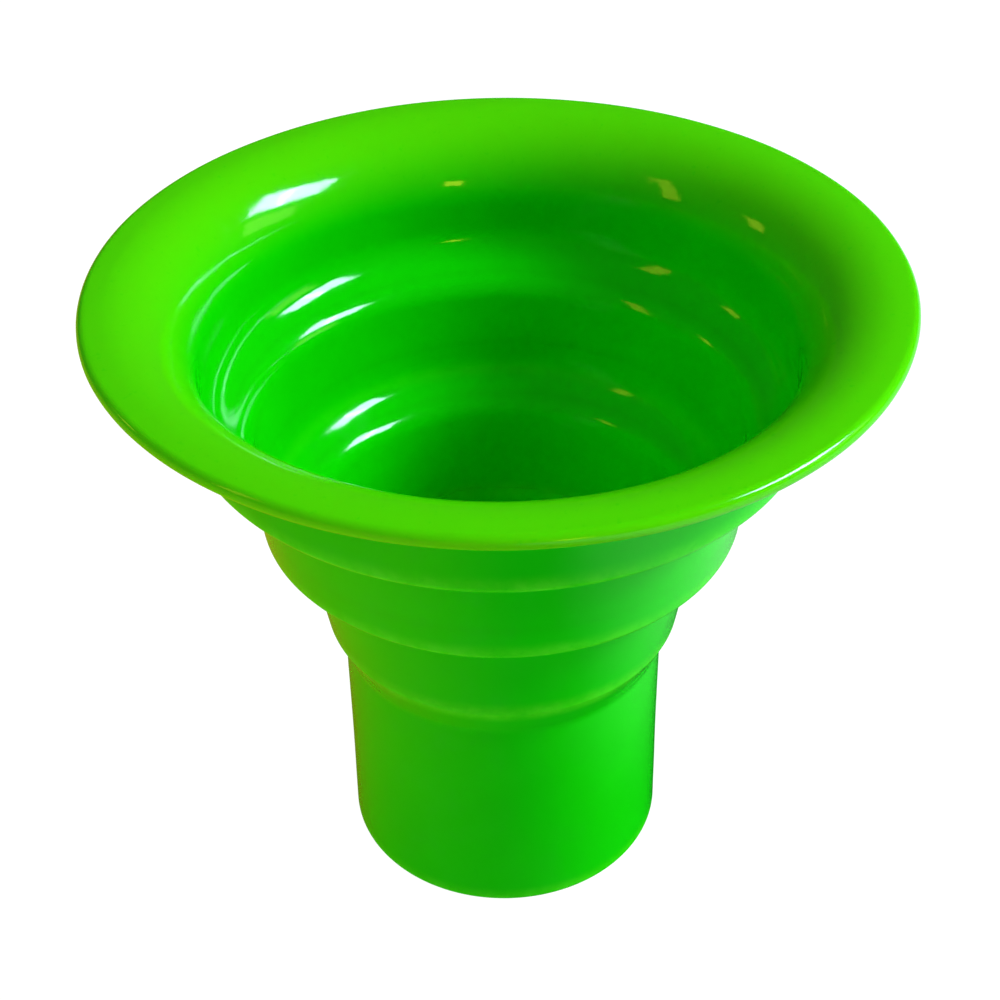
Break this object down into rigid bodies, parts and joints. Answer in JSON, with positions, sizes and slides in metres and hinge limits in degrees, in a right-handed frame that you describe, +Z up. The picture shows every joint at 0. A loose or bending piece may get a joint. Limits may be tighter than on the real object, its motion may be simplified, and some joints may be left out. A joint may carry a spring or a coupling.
{
  "type": "canning funnel",
  "caption": "Collapsible wide-mouth canning funnel in soft green silicone: flared lip, stepped bowl with thin folding walls, short wide jar spout.",
  "frame": {"origin": "centre of the spout's foot, on the surface that the funnel stands on", "axes": "+Z up the funnel's axis, from the spout's foot to the mouth; the funnel is round, so X and Y are any two square directions"},
  "size_m": [0.128, 0.128, 0.1113],
  "materials": {
    "band_silicone": "glossy, slightly translucent moulded silicone",
    "fold_silicone": "glossy, slightly translucent thin moulded silicone"
  },
  "bodies": {
    "spout": {"jar_spout": "band_silicone"},
    "ring": {"step_ring": "band_silicone", "lower_fold_wall": "fold_silicone"},
    "mouth": {"flared_mouth": "band_silicone", "upper_fold_wall": "fold_silicone"}
  },
  "joints": [
    {"name": "lower_fold", "type": "slide", "parent": "spout", "child": "ring", "axis": [0, 0, -1], "range_m": [0, 0.0341], "deforming": ["lower_fold_wall"]},
    {"name": "upper_fold", "type": "slide", "parent": "ring", "child": "mouth", "axis": [0, 0, -1], "range_m": [0, 0.0237], "deforming": ["upper_fold_wall"]}
  ]
}
